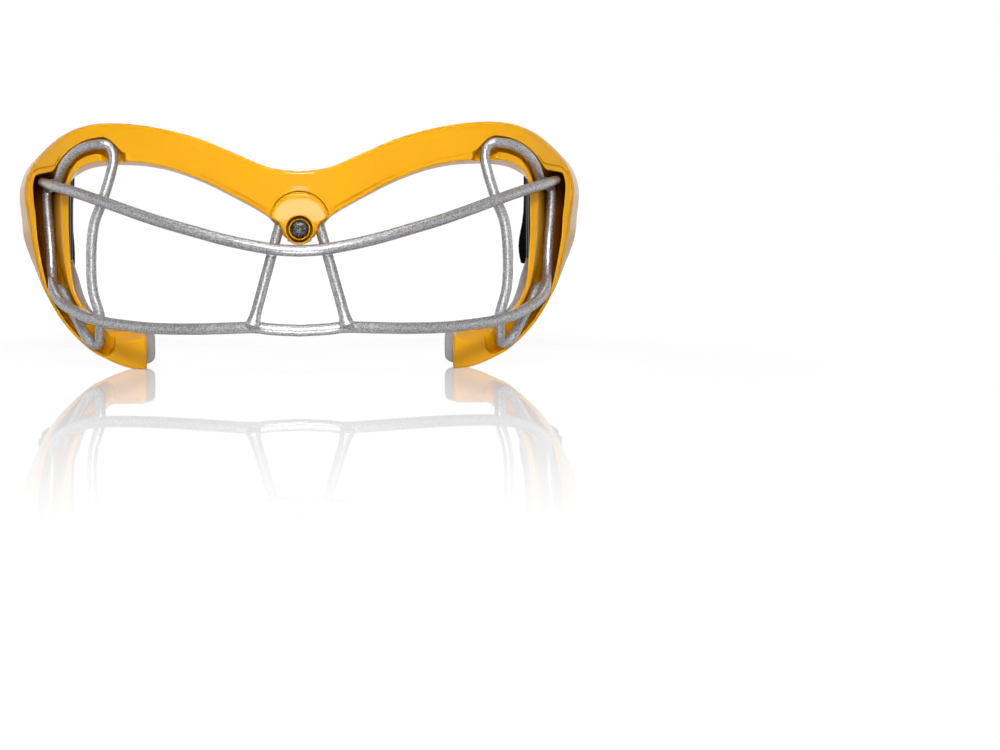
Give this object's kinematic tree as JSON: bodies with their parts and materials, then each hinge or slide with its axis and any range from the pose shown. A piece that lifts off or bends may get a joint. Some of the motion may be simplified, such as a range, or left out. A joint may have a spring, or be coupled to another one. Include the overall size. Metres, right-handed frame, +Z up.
{
  "type": "lacrosse goggles",
  "caption": "Protective sports eye guard: a moulded brow frame with side arms and a welded wire cage held by one screw at the nose, on a two-part elastic strap with a clasp.",
  "frame": {"origin": "under the middle of the whole part, on the plane through the flat ends of the two cheek arms", "axes": "+X to the viewer's right along the width, the front faces -Y, the straps lie towards +Y, +Z up"},
  "size_m": [0.1777, 0.1172, 0.072],
  "materials": {
    "frame_plastic": "gloss",
    "cage_wire": "metallic silver",
    "screw_steel": "dark grained",
    "insert_brass": "plain",
    "pad_silicone": "matt",
    "clip_plastic": "satin",
    "pin_steel": "plain",
    "strap_elastic": "woven"
  },
  "bodies": {
    "frame_and_cage": {"frame": "frame_plastic", "nose_clamp": "frame_plastic", "clamp_screw": "screw_steel", "threaded_insert": "insert_brass", "cage_tab": "cage_wire", "upper_wire": "cage_wire", "lower_wire": "cage_wire", "nose_strut_left": "cage_wire", "nose_strut_right": "cage_wire", "side_loop_left": "cage_wire", "side_loop_right": "cage_wire", "brow_pad": "pad_silicone", "cheek_pad_left": "pad_silicone", "cheek_pad_right": "pad_silicone", "clip_pin_left": "pin_steel", "clip_pin_right": "pin_steel"},
    "strap_side_left": {"strap_clip_left": "clip_plastic", "strap_left": "strap_elastic", "buckle_hook": "clip_plastic"},
    "strap_side_right": {"strap_clip_right": "clip_plastic", "strap_right": "strap_elastic", "buckle_catch": "clip_plastic"},
    "adjuster_left": {"slider_left": "clip_plastic"},
    "adjuster_right": {"slider_right": "clip_plastic"}
  },
  "joints": [
    {"name": "clip_swing_left", "type": "hinge", "parent": "frame_and_cage", "child": "strap_side_left", "pos_m": [-0.0805, 0.00571, 0.047], "axis": [1, 0, 0], "range_deg": [-20, 20]},
    {"name": "clip_swing_right", "type": "hinge", "parent": "frame_and_cage", "child": "strap_side_right", "pos_m": [0.0805, 0.00571, 0.047], "axis": [1, 0, 0], "range_deg": [-20, 20]},
    {"name": "adjuster_slide_left", "type": "slide", "parent": "strap_side_left", "child": "adjuster_left", "axis": [0, 1, 0], "range_m": [0, 0.008]},
    {"name": "adjuster_slide_right", "type": "slide", "parent": "strap_side_right", "child": "adjuster_right", "axis": [0, 1, 0], "range_m": [0, 0.008]}
  ]
}
